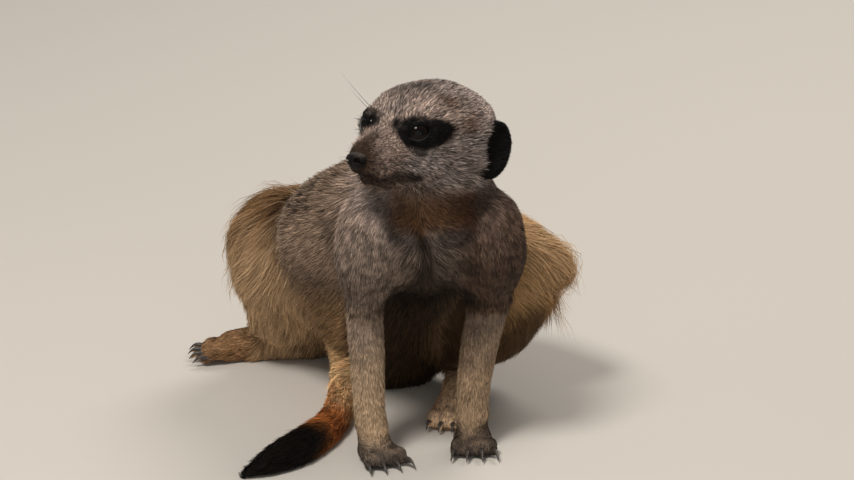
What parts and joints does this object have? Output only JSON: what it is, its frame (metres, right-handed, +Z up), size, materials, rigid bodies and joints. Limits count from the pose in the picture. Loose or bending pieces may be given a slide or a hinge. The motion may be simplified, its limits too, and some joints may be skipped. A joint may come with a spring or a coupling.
{
  "type": "meerkat",
  "caption": "Still, life-size meerkat sitting on the floor: forelegs straight, hind legs splayed, tail curled forward, head turned to its right.",
  "frame": {"origin": "on the floor, at the middle of the footprint's bounding box", "axes": "+Z up; the chest faces -Y and the animal's left side is +X"},
  "size_m": [0.1751, 0.1759, 0.1693],
  "materials": {
    "coat": "short grizzled fur, longer on the flanks and thighs",
    "ear": "short black fur",
    "eye": "wet dark brown eye under a clear cornea",
    "nose": "moist, finely pebbled dark skin",
    "claw": "dark horn, slightly glossy"
  },
  "bodies": {
    "root": {"head": "coat", "neck": "coat", "trunk": "coat", "tail_root": "coat", "tail_tip": "coat", "upper_arm_l": "coat", "upper_arm_r": "coat", "forearm_l": "coat", "forearm_r": "coat", "forepaw_l": "coat", "forepaw_r": "coat", "thigh_l": "coat", "thigh_r": "coat", "shank_l": "coat", "shank_r": "coat", "hind_foot_l": "coat", "hind_foot_r": "coat", "ear_l": "ear", "ear_r": "ear", "eye_l": "eye", "eye_r": "eye", "nose": "nose"}
  },
  "joints": []
}
